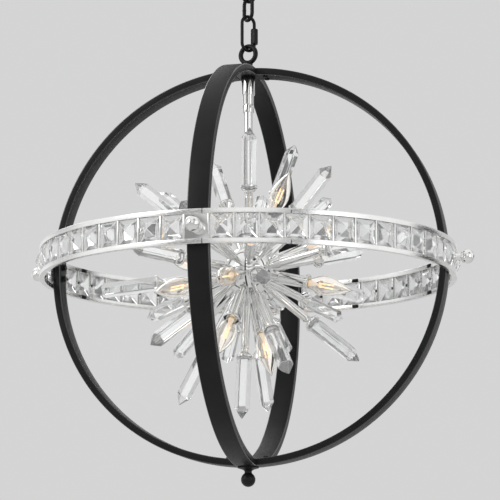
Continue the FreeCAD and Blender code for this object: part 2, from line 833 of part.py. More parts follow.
def drip_ring():
    low, high = drip_ring_start, drip_ring_end
    edge = high - drip_ring_edge
    return turned([
        (candle_radius, low), (candle_radius + drip_ring_edge, low), (drip_ring_radius, edge),
        (drip_ring_radius, high), (bulb_collar_radius, high), (bulb_collar_radius, candle_end),
        (candle_radius, candle_end),
    ])


def lamp_socket():
    socket = rod(candle_bore_radius, socket_start, socket_end)
    return socket.cut(rod(bulb_cap_radius, socket_floor_height, socket_end))


def bulb_cap():
    return turned([
        (0, socket_floor_height), (bulb_cap_radius, socket_floor_height), (bulb_cap_radius, socket_end),
        (bulb_collar_radius, socket_end), (bulb_collar_radius, glass_start), (0, glass_start),
    ])


def glass_form(inset):
    """Torpedo of the bulb, drawn in by inset on every side but its open neck."""
    length = glass_length - inset
    shape = [(0.0, glass_neck_radius), (0.1, 0.66 * glass_radius), (0.24, 0.93 * glass_radius),
             (0.38, glass_radius), (0.55, 0.9 * glass_radius), (0.75, 0.58 * glass_radius),
             (0.92, 0.2 * glass_radius)]
    points = [V(radius - inset, 0, glass_start + share * length) for share, radius in shape]
    tip = V(0, 0, glass_start + length)
    curve = Part.BSplineCurve()
    curve.interpolate(points + [tip])
    neck = points[0]
    edges = [
        curve.toShape(),
        Part.makeLine(tip, V(0, 0, glass_start)),
        Part.makeLine(V(0, 0, glass_start), neck),
    ]
    return Part.Face(Part.Wire(edges)).revolve(V(0, 0, 0), UP, 360)


def bulb_filament():
    """Glass post with two filament sticks beside its top."""
    post_end = glass_start + filament_post_length
    pieces = [rod(filament_post_radius, glass_start, post_end)]
    bridge = Part.makeBox(2 * filament_spread, 2 * filament_radius, 2 * filament_radius,
                          V(-filament_spread, -filament_radius, post_end - 2 * filament_radius))
    pieces.append(bridge)
    for side in (-1, 1):
        place = V(side * filament_spread, 0, 0)
        pieces.append(rod(filament_radius, post_end - 2 * filament_radius, post_end + filament_length, place))
    return pieces[0].fuse(pieces[1:]).removeSplitter()


def make_lamps():
    sphere = Part.makeSphere(hub_radius, HUB)
    arm = tube(arm_radius, arm_bore_radius, hub_radius - hub_wall, candle_start)
    glass = glass_form(0).cut(glass_form(glass_wall))
    add("lamp_arms", *[piece.cut(sphere) for piece in burst(arm, lamps)])
    add("candle_sleeves", *burst(candle_sleeve(), lamps))
    add("drip_rings", *burst(drip_ring(), lamps))
    add("lamp_sockets", *burst(lamp_socket(), lamps))
    add("bulb_caps", *burst(bulb_cap(), lamps))
    add("bulb_glasses", *burst(glass, lamps))
    add("bulb_filaments", *burst(bulb_filament(), lamps))


# ---------------------------------------------------------------- build and write

def main():
    make_ceiling_fitting()
    make_chain()
    make_quick_link()
    make_orb_loop()
    make_hoops()
    make_finial()
    make_band()
    make_stem()
    make_hub()
    make_spikes()
    make_lamps()
    os.makedirs("parts", exist_ok=True)
    for name, shape in parts.items():
        shape.exportStep("parts/" + name + ".step")
    print("nodes", len(parts), "orb centre", round(orb_centre_z, 3))
    print("pivots", [round(z, 3) for z in (canopy_loop_wire, upper_link_bottom, lower_link_bottom, quick_link_bottom)])


main()
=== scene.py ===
import json
import math

import bmesh
import bpy
from mathutils import Matrix, Vector


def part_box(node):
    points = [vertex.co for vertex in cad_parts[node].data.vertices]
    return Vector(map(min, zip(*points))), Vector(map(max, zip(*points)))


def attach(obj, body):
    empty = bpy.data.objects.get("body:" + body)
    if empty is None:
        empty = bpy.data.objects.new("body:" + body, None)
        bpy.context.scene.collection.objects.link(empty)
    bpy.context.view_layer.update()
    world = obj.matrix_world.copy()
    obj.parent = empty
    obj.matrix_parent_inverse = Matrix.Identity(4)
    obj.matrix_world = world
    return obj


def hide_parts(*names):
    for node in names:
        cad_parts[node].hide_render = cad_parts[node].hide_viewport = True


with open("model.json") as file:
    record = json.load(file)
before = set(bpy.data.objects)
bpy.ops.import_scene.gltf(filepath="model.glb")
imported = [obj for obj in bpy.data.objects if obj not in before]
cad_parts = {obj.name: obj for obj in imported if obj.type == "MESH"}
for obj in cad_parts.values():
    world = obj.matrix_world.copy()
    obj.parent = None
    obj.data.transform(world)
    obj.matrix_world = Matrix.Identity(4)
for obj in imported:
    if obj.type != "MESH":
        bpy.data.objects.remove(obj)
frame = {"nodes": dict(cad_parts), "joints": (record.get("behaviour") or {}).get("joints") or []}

bl_info = {
    "name": "Orb Chandelier",
    "version": (1, 0, 0),
    "blender": (4, 5, 0),
    "location": "3D View > Sidebar > Chandelier",
    "description": "Builds the hoops, crystal band, starburst, lamps and chain of an orb chandelier",
    "category": "Object",
}

MM = 0.001
RIGHT, BACK, UP = Vector((1, 0, 0)), Vector((0, 1, 0)), Vector((0, 0, 1))
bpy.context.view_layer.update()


def centre_of(node):
    low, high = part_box(node)
    return (low + high) / 2


def height_of(node):
    low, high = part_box(node)
    return high.z - low.z


def swing_axis(joint):
    """Level direction of a hinge of the frame, which is the direction its bearing wire runs in."""
    for entry in frame["joints"]:
        if entry["name"] == joint:
            return Vector(entry["axis"])
    raise ValueError("the frame has no joint named " + joint)


ORB = centre_of("front_back_hoop")
HOOP_RADIUS = height_of("front_back_hoop") / 2
HOOP_HALF_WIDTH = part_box("front_back_hoop")[1].x
HUB = Vector((0, 0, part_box("hub_lower_shell")[1].z))
HUB_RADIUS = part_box("hub_lower_shell")[1].x
RIM_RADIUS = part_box("upper_rim_right")[1].x
RIM_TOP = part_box("upper_rim_right")[1].z - ORB.z
RIM_HEIGHT = height_of("upper_rim_right")
CELL_HALF_HEIGHT = RIM_TOP - RIM_HEIGHT
CELLS = 56
CELL_TURN = 2 * math.pi / CELLS
LINK_HALF_WIDTH = 16.5 * MM
CURVE_STEPS = 24
FACE_INWARD = Matrix.Rotation(math.pi, 4, "X")


# ------------ settings

class ChandelierSizes(bpy.types.PropertyGroup):
    hoop_thickness: bpy.props.FloatProperty(
        name="Hoop thickness", description="Thickness of the hoops' tube", default=13 * MM, unit="LENGTH")
    hoop_edge: bpy.props.FloatProperty(
        name="Hoop edge", description="Radius of the hoops' rounded edges", default=1.6 * MM, unit="LENGTH")
    rim_depth: bpy.props.FloatProperty(
        name="Rim depth", description="Radial depth of the band's two rims", default=10 * MM, unit="LENGTH")
    rim_edge: bpy.props.FloatProperty(
        name="Rim edge", description="Radius of the rims' rounded edges", default=0.9 * MM, unit="LENGTH")
    bar_width: bpy.props.FloatProperty(
        name="Bar width", description="Width of the bars between crystals", default=3 * MM, unit="LENGTH")
    crystal_chamfer: bpy.props.FloatProperty(
        name="Crystal chamfer", description="Width of the ground edges", default=0.6 * MM, unit="LENGTH")
    prism_width: bpy.props.FloatProperty(
        name="Prism width", description="Spike crystal's width across flats", default=24 * MM, unit="LENGTH")
    chain_wire: bpy.props.FloatProperty(
        name="Chain wire", description="Diameter of the chain's wire", default=7 * MM, unit="LENGTH")
    link_wire: bpy.props.FloatProperty(
        name="Quick link wire", description="Diameter of the link's wire", default=6 * MM, unit="LENGTH")


class ChandelierColours(bpy.types.PropertyGroup):
    coat: bpy.props.FloatVectorProperty(
        name="Black coat", description="Powder coat of the hoops and chain", subtype="COLOR", size=4,
        default=(0.009, 0.009, 0.0098, 1))
    plating: bpy.props.FloatVectorProperty(
        name="Plating", description="Bright silver plating", subtype="COLOR", size=4,
        default=(0.86, 0.86, 0.85, 1))
    crystal: bpy.props.FloatVectorProperty(
        name="Crystal", description="Clear cut crystal", subtype="COLOR", size=4,
        default=(0.985, 0.992, 0.99, 1))
    bulb: bpy.props.FloatVectorProperty(
        name="Bulb glass", description="Faintly warm bulb glass", subtype="COLOR", size=4,
        default=(1.0, 0.975, 0.94, 1))
    glow: bpy.props.FloatVectorProperty(
        name="Filament glow", description="Colour of the lit filaments", subtype="COLOR", size=4,
        default=(1.0, 0.58, 0.28, 1))
    backdrop: bpy.props.FloatVectorProperty(
        name="Backdrop", description="Floor and surroundings", subtype="COLOR", size=4,
        default=(0.66, 0.66, 0.66, 1))


def sizes():
    return bpy.context.scene.chandelier_sizes


def colours():
    return bpy.context.scene.chandelier_colours


# ------------ finishes

def wired(tree, node, settings):
    """Give a node's sockets values, or links where the value is another node's output."""
    for socket, value in settings.items():
        if isinstance(value, bpy.types.NodeSocket):
            tree.links.new(value, node.inputs[socket])
        else:
            node.inputs[socket].default_value = value
    return node


def new_finish(name, settings):
    """Node material whose shader has these settings; returns the material, tree and shader."""
    material = bpy.data.materials.new(name)
    material.use_nodes = True
    tree = material.node_tree
    tree.nodes.clear()
    shader = wired(tree, tree.nodes.new("ShaderNodeBsdfPrincipled"), settings)
    wired(tree, tree.nodes.new("ShaderNodeOutputMaterial"), {"Surface": shader.outputs["BSDF"]})
    return material, tree, shader


def noise(tree, scale, detail=3.0, stretch=(1, 1, 1)):
    """Noise in the object's own metres, drawn out along an axis by stretch."""
    place = tree.nodes.new("ShaderNodeTexCoord").outputs["Object"]
    mapping = wired(tree, tree.nodes.new("ShaderNodeMapping"), {"Vector": place, "Scale": stretch})
    texture = wired(tree, tree.nodes.new("ShaderNodeTexNoise"), {
        "Vector": mapping.outputs["Vector"], "Scale": scale, "Detail": detail,
    })
    return texture.outputs["Fac"]


def spread(tree, value, low, high):
    """Map noise, most of which lies between 0.3 and 0.7, onto a range."""
    ramp = wired(tree, tree.nodes.new("ShaderNodeMapRange"), {
        "Value": value, "From Min": 0.3, "From Max": 0.7, "To Min": low, "To Max": high,
    })
    return ramp.outputs["Result"]


def mixed(tree, factor, first, second):
    blend = tree.nodes.new("ShaderNodeMix")
    blend.data_type = "RGBA"
    wired(tree, blend, {"Factor": factor, "A": first, "B": second})
    return blend.outputs["Result"]


def shade(colour, factor):
    return (colour[0] * factor, colour[1] * factor, colour[2] * factor, 1)


def surface(name, settings, tones=None, gloss=None, relief=None, lit=False):
    """Finish from its shader's settings, two tones, a range of roughness and a fine relief.

    tones, gloss and relief each begin with the values for noise(); relief ends with its depth
    and strength. A lit finish glows in its own colour.
    """
    material, tree, shader = new_finish(name, settings)
    sockets = {}
    if tones:
        texture, first, second = tones
        sockets["Base Color"] = mixed(tree, spread(tree, noise(tree, *texture), 0, 1), first, second)
    if lit:
        sockets["Emission Color"] = sockets["Base Color"]
    if gloss:
        texture, low, high = gloss
        sockets["Roughness"] = spread(tree, noise(tree, *texture), low, high)
    if relief:
        texture, depth, strength = relief
        bump = wired(tree, tree.nodes.new("ShaderNodeBump"), {
            "Height": noise(tree, *texture), "Distance": depth, "Strength": strength,
        })
        sockets["Normal"] = bump.outputs["Normal"]
    wired(tree, shader, sockets)
    return material


def black_coat(name, roughness, grain, gloss=0.18):
    """Satin powder coat with a fine orange peel."""
    coat = colours().coat
    return surface(name, {"Specular IOR Level": gloss}, ((18,), shade(coat, 0.85), shade(coat, 1.35)),
                   ((240,), roughness - 0.05, roughness + 0.06), ((grain, 2.0), 0.05 * MM, 0.5))


def bright_plate(name, roughness, tone=1.0):
    """Polished plating with faint wipe marks in its gloss."""
    plating = colours().plating
    return surface(name, {"Metallic": 1.0},
                   ((35,), shade(plating, 0.97 * tone), shade(plating, 1.03 * tone)),
                   ((160, 4.0, (1, 1, 6)), roughness * 0.7, roughness * 1.4), ((90, 2.0), 0.02 * MM, 0.3))


def plain_zinc(name):
    """Zinc-plated pressed steel."""
    return surface(name, {"Metallic": 1.0}, ((120, 5.0), (0.42, 0.43, 0.44, 1), (0.56, 0.56, 0.55, 1)),
                   ((300,), 0.3, 0.48), ((700,), 0.04 * MM, 0.4))


def bright_brass(name):
    """Pressed brass of the bulbs' caps."""
    return surface(name, {"Metallic": 1.0}, ((150, 4.0), (0.78, 0.64, 0.4, 1), (0.86, 0.74, 0.5, 1)),
                   ((260,), 0.16, 0.3))


def cut_crystal(name):
    """Cut crystal, polished on every facet, with a little of the light scattered inside it."""
    return surface(name, {"Base Color": colours().crystal, "Transmission Weight": 0.86, "IOR": 1.56},
                   gloss=((60,), 0.0, 0.02), relief=((45, 1.0), 0.02 * MM, 0.2))


def bulb_glass(name):
    """Thin blown glass, a little wavy."""
    return surface(name, {"Base Color": colours().bulb, "Transmission Weight": 1.0, "IOR": 1.45},
                   gloss=((80,), 0.0, 0.03), relief=((60, 1.0), 0.1 * MM, 0.3))


def lit_post(name):
    """The bulb's inner glass post, with a painted warm glow that stands in for the filaments' light."""
    return surface(name, {"Emission Strength": 0.5, "Roughness": 0.2},
                   ((90,), (1.0, 0.8, 0.6, 1), (1.0, 0.88, 0.74, 1)), lit=True)


def lit_filament(name):
    """Warm filament sticks that glow unevenly along their length."""
    return surface(name, {"Emission Strength": 1.3},
                   ((500, 2.0), shade(colours().glow, 0.9), (1.0, 0.78, 0.5, 1)), lit=True)


def black_phenolic(name):
    """Moulded black body of the lamp holders."""
    return surface(name, {}, ((200,), (0.02, 0.02, 0.02, 1), (0.04, 0.038, 0.036, 1)), ((400,), 0.4, 0.55))


FINISHES = {}


def finish(name):
    """The chandelier's finishes by name, each made once."""
    # Each has its maker, then roughness with the coats' grain and gloss, or with the plating's tone.
    makers = {
        "hoop_coat": (black_coat, 0.42, 1500),
        "hoop_edge": (black_coat, 0.2, 1500, 0.9),
        "chain_coat": (black_coat, 0.3, 1100),
        "screw_coat": (black_coat, 0.36, 2200),
        "rim_plate": (bright_plate, 0.22),
        "mirror_plate": (bright_plate, 0.05),
        "rod_plate": (bright_plate, 0.09, 0.97),
        "plain_zinc": (plain_zinc,),
        "bright_brass": (bright_brass,),
        "band_crystal": (cut_crystal,),
        "spike_crystal": (cut_crystal,),
        "bulb_glass": (bulb_glass,),
        "lit_filament": (lit_filament,),
        "lit_post": (lit_post,),
        "black_phenolic": (black_phenolic,),
    }
    if name not in FINISHES:
        make, *settings = makers[name]
        FINISHES[name] = make(name, *settings)
    return FINISHES[name]


# ------------ mesh helpers

def in_mm(points, height=0.0):
    """Outline points given in millimetres, whose heights count from this height."""
    return [(radius * MM, height + rise * MM) for radius, rise in points]


def eased(points, radius, closed=False, steps=3):
    """Outline with its corners rounded; the ends of an open outline stay sharp."""
    outline = []
    count = len(points)
    for index in range(count):
        corner = Vector(points[index])
        if not closed and index in (0, count - 1):
            outline.append(corner)
            continue
        before = Vector(points[index - 1]) - corner
        after = Vector(points[(index + 1) % count]) - corner
        reach = min(radius, before.length * 0.45, after.length * 0.45)
        start = corner + before.normalized() * reach
        end = corner + after.normalized() * reach
        for step in range(steps + 1):
            t = step / steps
            outline.append(start * (1 - t) ** 2 + corner * 2 * t * (1 - t) + end * t ** 2)
    return outline


def ball_outline(ball, neck, middle, side):
    """Outline of a ball from its neck round to its far pole, which is above it (1) or below it (-1)."""
    start = math.asin(neck / ball)
    outline = []
    for step in range(1, CURVE_STEPS + 1):
        angle = start + (math.pi - start) * step / CURVE_STEPS
        outline.append(Vector((ball * math.sin(angle), middle - side * ball * math.cos(angle))))
    outline[-1] = Vector((0, middle + side * ball))
    return outline


def hexagonal(flat, turn):
    """Shape for lathe() that cuts six flats at this radius, with a corner at turn."""
    def shape(angle, radius, height):
        return min(flat / math.cos((angle - turn) % (math.pi / 3) - math.pi / 6), radius)

    return shape


def bridge(bm, first, second):
    """Quads, or triangles at a pole, between two closed rows of vertices."""
    longest = max(len(first), len(second))
    for index in range(longest):
        following = (index + 1) % longest
        corners = [first[index % len(first)], first[following % len(first)],
                   second[following % len(second)], second[index % len(second)]]
        unique = list(dict.fromkeys(corners))
        if len(unique) > 2:
            bm.faces.new(unique)


def lathe(bm, outline, matrix=Matrix(), closed=False, steps=40, shape=None):
    """Turn (radius, height) points about Z. shape(angle, radius, height) may change a radius."""
    rows = []
    for radius, height in outline:
        if radius < 1e-7:
            rows.append([bm.verts.new(matrix @ Vector((0, 0, height)))])
            continue
        row = []
        for step in range(steps):
            angle = 2 * math.pi * step / steps
            reach = shape(angle, radius, height) if shape else radius
            place = Vector((reach * math.cos(angle), reach * math.sin(angle), height))
            row.append(bm.verts.new(matrix @ place))
        rows.append(row)
    for first, second in zip(rows, rows[1:]):
        bridge(bm, first, second)
    if closed:
        bridge(bm, rows[-1], rows[0])


def sweep(bm, rows, closed):
    """Skin rows of section vertices given as lists of places; an open sweep gets flat ends."""
    rings = [[bm.verts.new(place) for place in row] for row in rows]
    for first, second in zip(rings, rings[1:]):
        bridge(bm, first, second)
    if closed:
        bridge(bm, rings[-1], rings[0])
    else:
        bm.faces.new(rings[0])
        bm.faces.new(rings[-1])


def block(bm, low, high, edge, matrix=Matrix()):
    """Box with rounded edges between two corners."""
    new = bmesh.ops.create_cube(bm, size=1.0)["verts"]
    scale = Matrix.Diagonal((*(high - low), 1))
    bmesh.ops.transform(bm, matrix=matrix @ Matrix.Translation((low + high) / 2) @ scale, verts=new)
    edges = list({e for v in new for e in v.link_edges})
    bmesh.ops.bevel(bm, geom=edges, offset=edge, segments=2, affect="EDGES", profile=0.5)


def cut_stone(bm, loops, tip, matrix):
    """Add a crystal: a closed body through loops of corners up to a tip, with its edges ground."""
    stone = bmesh.new()
    rows = [[stone.verts.new(corner) for corner in loop] for loop in loops]
    rows.append([stone.verts.new(tip)])
    stone.faces.new(rows[0])
    for first, second in zip(rows, rows[1:]):
        bridge(stone, first, second)
    bmesh.ops.bevel(stone, geom=list(stone.edges), offset=sizes().crystal_chamfer, segments=1,
                    affect="EDGES", profile=0.5)
    bmesh.ops.transform(stone, matrix=matrix, verts=stone.verts)
    mesh = bpy.data.meshes.new("stone")
    stone.to_mesh(mesh)
    stone.free()
    bm.from_mesh(mesh)
    bpy.data.meshes.remove(mesh)


def hexagon(across_flats, height):
    reach = across_flats / 2 / math.cos(math.pi / 6)
    return [(reach * math.cos(math.pi * i / 3), reach * math.sin(math.pi * i / 3), height) for i in range(6)]


def add_object(name, data):
    """New object in the scene."""
    made = bpy.data.objects.new(name, data)
    bpy.context.scene.collection.objects.link(made)
    return made


def make_piece(name, bm, material, slot, *nodes, body="orb", sharp=32, edges=None):
    """Finish a mesh as an object that rides on a body and stands for its frame nodes.

    Faces with material index 1 get the finish named by edges.
    """
    bmesh.ops.recalc_face_normals(bm, faces=list(bm.faces))
    mesh = bpy.data.meshes.new(name)
    bm.to_mesh(mesh)
    bm.free()
    if sharp:
        for face in mesh.polygons:
            face.use_smooth = True
        mesh.set_sharp_from_angle(angle=math.radians(sharp))
    mesh.materials.append(finish(material))
    if edges:
        mesh.materials.append(finish(edges))
    piece = add_object(name, mesh)
    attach(piece, body)
    if nodes:
        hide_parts(*nodes)
    return piece


def make_turning(name, outline, material, slot, *nodes, places=(Matrix(),), body="orb", closed=False,
                 steps=56, shape=None, sharp=32):
    """Piece turned from one outline, once at each place."""
    bm = bmesh.new()
    for place in places:
        lathe(bm, outline, place, closed, steps, shape)
    make_piece(name, bm, material, slot, *nodes, body=body, sharp=sharp)


def dress(material, *nodes):
    """Give frame nodes that stay in view their finish."""
    for node in nodes:
        mesh = frame["nodes"][node].data
        mesh.materials.clear()
        mesh.materials.append(finish(material))


def spin(angle):
    """Turn about the orb's upright axis."""
    return Matrix.Translation(ORB) @ Matrix.Rotation(angle, 4, "Z")


def outward(angle):
    """Frame whose Z points away from the orb's axis at an angle from +X."""
    return spin(angle) @ Matrix.Rotation(math.pi / 2, 4, "Y")


def loose_parts(node):
    """Vertex places of each separate solid of a frame node, with shared corners taken once."""
    mesh = frame["nodes"][node].data
    grid = 0.01 * MM
    corners = {}
    owner = [corners.setdefault(tuple(round(c / grid) for c in v.co), len(corners)) for v in mesh.vertices]
    parent = list(range(len(corners)))

    def root(index):
        while parent[index] != index:
            parent[index] = parent[parent[index]]
            index = parent[index]
        return index

    for edge in mesh.edges:
        first, second = (root(owner[v]) for v in edge.vertices)
        parent[max(first, second)] = min(first, second)
    parts = {}
    for corner, index in corners.items():
        parts.setdefault(root(index), []).append(Vector(corner) * grid)
    return parts.values()


def directions(node):
    """Unit directions from the hub of the separate solids of a frame node."""
    return [(sum(places, Vector((0, 0, 0))) / len(places) - HUB).normalized() for places in loose_parts(node)]


def aimed(direction):
    """Frame at the hub whose Z points along a direction."""
    return Matrix.Translation(HUB) @ UP.rotation_difference(direction).to_matrix().to_4x4()


# ------------ hoops and straps

def make_hoop(node, rows, closed):
    """Sweep a hoop, with a glossier finish on its rounded edges than on its flat sides."""
    bm = bmesh.new()
    sweep(bm, rows, closed)
    # A section has four points at each rounded corner, so every fourth face is a flat side.
    for index, face in enumerate(bm.faces):
        if index % 4 != 3 and len(face.verts) == 4:
            face.material_index = 1
    make_piece(node + "_tube", bm, "hoop_coat", "black_metal", node, edges="hoop_edge")


def build_hoops():
    """The front and back hoop in one piece, and the two halves that meet it at the poles."""
    inner, outer, half = HOOP_RADIUS - sizes().hoop_thickness, HOOP_RADIUS, HOOP_HALF_WIDTH
    corners = [(inner, -half), (outer, -half), (outer, half), (inner, half)]
    section = eased(corners, sizes().hoop_edge, closed=True)
    steps = 256
    rows = []
    for step in range(steps):
        angle = 2 * math.pi * step / steps
        rows.append([
            ORB + Vector((offset, radius * math.cos(angle), radius * math.sin(angle)))
            for radius, offset in section
        ])
    make_hoop("front_back_hoop", rows, closed=True)
    for side, node in ((-1, "left_hoop"), (1, "right_hoop")):
        rows = []
        for step in range(steps // 2 + 1):
            row = []
            for radius, offset in section:
                start = math.asin(half / radius)
                angle = start + (math.pi - 2 * start) * step / (steps // 2)
                row.append(ORB + Vector((side * radius * math.sin(angle), offset, radius * math.cos(angle))))
            rows.append(row)
        make_hoop(node, rows, closed=False)
    dress("hoop_coat", "top_joint_strap", "bottom_joint_strap")
    dress("screw_coat", "joint_strap_screws", "finial_nut")


def build_finial():
    """Black dish, neck and ball under the lower pole."""
    dish, ball, neck = 19.5 * MM, 13 * MM, 6.6 * MM
    middle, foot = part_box("finial")[0].z + ball, ORB.z - HOOP_RADIUS
    outline = eased([
        (0, foot), (dish, foot), (dish, foot - 2 * MM), (dish * 0.55, foot - 4.5 * MM), (neck, foot - 7 * MM),
        (neck, middle + ball * 0.9),
    ], 1.2 * MM)
    outline += ball_outline(ball, neck, middle, -1)
    make_turning("finial_turning", outline, "screw_coat", "black_metal", "finial")


# ------------ band

def arc_piece(bm, section, start, end, steps):
    """Part of a level ring from (radius, height) section points, with flat ends."""
    rows = []
    for step in range(steps + 1):
        angle = start + (end - start) * step / steps
        rows.append([ORB + Vector((r * math.cos(angle), r * math.sin(angle), z)) for r, z in section])
    sweep(bm, rows, closed=False)


def build_rims():
    """The rims' half rings, with the joint between them and a second joint along each."""
    inner, start_turn = RIM_RADIUS - sizes().rim_depth, math.radians(1.6)
    second_joint = math.radians(24.2)
    gap = 0.7 * MM / RIM_RADIUS
    for name, high in (("upper_rim_", RIM_TOP), ("lower_rim_", -CELL_HALF_HEIGHT)):
        low = high - RIM_HEIGHT
        corners = [(inner, low), (RIM_RADIUS, low), (RIM_RADIUS, high), (inner, high)]
        section = eased(corners, sizes().rim_edge, closed=True)
        for side, start in (("right", -math.pi / 2), ("left", math.pi / 2)):
            bm = bmesh.new()
            arc_piece(bm, section, start + start_turn + gap, start + second_joint - gap, 16)
            arc_piece(bm, section, start + second_joint + gap, start + start_turn + math.pi - gap, 112)
            make_piece(name + side + "_ring", bm, "rim_plate", "chrome", name + side)


def screw_head(radius, rim, crown, height):
    """Outline of a low screw head with sizes in millimetres."""
    return eased(in_mm([(0, 0), (radius, 0), (radius, rim), (crown, height), (0, height)]), 0.2 * MM)


def build_bars():
    """Bars between the crystals, each with its small screw on the inner side."""
    half, inner, depth = sizes().bar_width / 2, RIM_RADIUS - sizes().rim_depth + 1 * MM, 8 * MM
    low = Vector((inner, -half, -CELL_HALF_HEIGHT))
    high = Vector((inner + depth, half, CELL_HALF_HEIGHT))
    bars, places = bmesh.new(), []
    for cell in range(CELLS):
        turn = (cell + 0.5) * CELL_TURN
        block(bars, low, high, 0.35 * MM, spin(turn))
        places.append(outward(turn) @ Matrix.Translation((0, 0, inner)) @ FACE_INWARD)
    make_piece("band_bar_set", bars, "rim_plate", "chrome", "band_bars")
    make_turning("band_bar_screws", screw_head(2.8, 0.5, 1.8, 1.1), "screw_coat", "black_metal",
                 places=places, steps=14)


def build_rim_clips():
    """Small dark clips across the rims' inner side, each with its screw."""
    bm = bmesh.new()
    inner, rise = RIM_RADIUS - sizes().rim_depth, CELL_HALF_HEIGHT + RIM_HEIGHT / 2
    low, high = Vector((-3.4, -6.5, -1.5)) * MM, Vector((3.4, 6.5, 0.2)) * MM
    head = screw_head(2.4, 0.7, 1.5, 1.3)
    for turn in (35.8, 68.7, 161.4, 198.6, 294.2, 324.2):
        for height in (rise, -rise):
            place = outward(math.radians(turn)) @ Matrix.Translation((-height, 0, inner))
            block(bm, low, high, 0.5 * MM, place)
            lathe(bm, head, place @ Matrix.Translation((0, 0, low.z)) @ FACE_INWARD, steps=16)
    make_piece("rim_clips", bm, "screw_coat", "black_metal")


def build_band_crystals():
    """Square crystals: a back cut in two steps, a narrow girdle and a four-sided point outwards."""
    inner = RIM_RADIUS - sizes().rim_depth + 2 * MM
    high = CELL_HALF_HEIGHT - 0.05 * MM
    wide = (inner + 2 * MM) * math.tan(CELL_TURN / 2) - sizes().bar_width / 2 - 0.25 * MM

    def loop(out, trim):
        radius, w, h = inner + out * MM, wide - trim * MM, high - trim * MM
        return [(radius, -w, -h), (radius, w, -h), (radius, w, h), (radius, -w, h)]

    loops = [loop(-1.8, 10.4), loop(0.2, 5.2), loop(2.5, 0), loop(5, 0)]
    tip = (inner + 15.5 * MM, 0, 0)
    for quadrant, name in enumerate(("back_right", "back_left", "front_left", "front_right")):
        bm = bmesh.new()
        for cell in range(1, CELLS // 4):
            cut_stone(bm, loops, tip, spin((quadrant * CELLS // 4 + cell) * CELL_TURN))
        make_piece("band_crystal_set_" + name, bm, "band_crystal", "crystal",
                   "band_crystals_" + name, sharp=0)


def build_crossings():
    """Curved plates, spacer blocks, bolts and ball screws where the band crosses the hoops."""
    outer, half = RIM_RADIUS - 2 * MM, CELL_HALF_HEIGHT
    back = outer - 2 * MM
    half_turn = CELL_TURN / 2 - (sizes().bar_width / 2 + 0.1 * MM) / outer
    section = eased([(back, -half), (outer, -half), (outer, half), (back, half)], 0.4 * MM, closed=True)

    neck, ball = 6 * MM, 13 * MM
    middle = outer + 3 * MM + 8 * MM + ball
    screw = in_mm([(0, 0), (11, 0), (11, 2), (8, 3), (6, 4.5)], outer) + [(neck, middle - ball * 0.86)]
    screw = eased(screw, 0.8 * MM) + ball_outline(ball, neck, middle, 1)

    inside = HOOP_RADIUS - sizes().hoop_thickness
    washer = eased(in_mm([(0, -1.5), (6.4, -1.5), (6.4, 0), (0, 0)], inside), 0.4 * MM)
    head = in_mm([(0, -6.5), (4.4, -6.5), (5.8, -5.7), (5.8, -1.5), (0, -1.5)], inside)
    flats = hexagonal(5 * MM, -math.pi / 6)
    low, high = Vector((HOOP_RADIUS, -8 * MM, -16 * MM)), Vector((outer - 2.1 * MM, 8 * MM, 16 * MM))
    plates, blocks, bolts = bmesh.new(), bmesh.new(), bmesh.new()
    turns = [quarter * math.pi / 2 for quarter in range(4)]
    for turn in turns:
        arc_piece(plates, section, turn - half_turn, turn + half_turn, 10)
        block(blocks, low, high, 0.8 * MM, spin(turn))
        for height in (-10.5 * MM, 10.5 * MM):
            place = outward(turn) @ Matrix.Translation((height, 0, 0))
            lathe(bolts, washer, place, steps=32)
            lathe(bolts, head, place, steps=48, shape=flats)
    make_piece("crossing_plate_set", plates, "mirror_plate", "chrome", "crossing_plates")
    make_piece("crossing_block_set", blocks, "rim_plate", "chrome", "crossing_blocks")
    make_piece("block_bolt_set", bolts, "screw_coat", "black_metal", "block_bolts")
    make_turning("ball_screw_set", screw, "mirror_plate", "chrome", "ball_screws",
                 places=[outward(turn) for turn in turns])


# ------------ chain, quick link and loops

def loop_rows(half_width, half_straight, centre, along, wire, start=0.0, end=1.0, steps=96, swell=None):
    """Section rows of round wire bent to an oval in the plane of along and Z, from share start to end.

    swell(length, angle) may give the wire another radius at a length along it and an angle round it.
    """
    around = 20
    side = along.cross(UP)
    bend, straight = math.pi * half_width, 2 * half_straight
    whole = 2 * bend + 2 * straight
    rows = []
    for step in range(steps + 1):
        length = whole * (start + (end - start) * step / steps)
        walk = length % whole
        if walk < straight:
            place = along * half_width + UP * (walk - half_straight)
            out = along
        elif walk < straight + bend:
            angle = (walk - straight) / half_width
            out = along * math.cos(angle) + UP * math.sin(angle)
            place = UP * half_straight + out * half_width
        elif walk < 2 * straight + bend:
            place = -along * half_width + UP * (half_straight - (walk - straight - bend))
            out = -along
        else:
            angle = math.pi + (walk - 2 * straight - bend) / half_width
            out = along * math.cos(angle) + UP * math.sin(angle)
            place = -UP * half_straight + out * half_width
        row = []
        for index in range(around):
            angle = 2 * math.pi * index / around
            radius = swell(length, angle) if swell else wire
            row.append(centre + place + (out * math.cos(angle) + side * math.sin(angle)) * radius)
        rows.append(row)
    return rows


def build_chain():
    """Welded links; the weld is a low collar halfway up one leg."""
    wire = sizes().chain_wire / 2
    weld_height, weld_reach = 0.35 * MM, 1.6 * MM
    for node, joint in (("chain_link_upper", "lower_link_swing"), ("chain_link_lower", "quick_link_swing")):
        half_straight = height_of(node) / 2 - LINK_HALF_WIDTH

        def welded(length, angle):
            away = (length - half_straight) / weld_reach
            return wire + weld_height * math.exp(-away * away) * (1 + 0.25 * math.sin(3 * angle))

        bm = bmesh.new()
        rows = loop_rows(LINK_HALF_WIDTH - wire, half_straight, centre_of(node), swing_axis(joint), wire,
                         steps=160, swell=welded)
        sweep(bm, rows[:-1], closed=True)
        make_piece(node + "_wire", bm, "chain_coat", "black_metal", node, body=node)


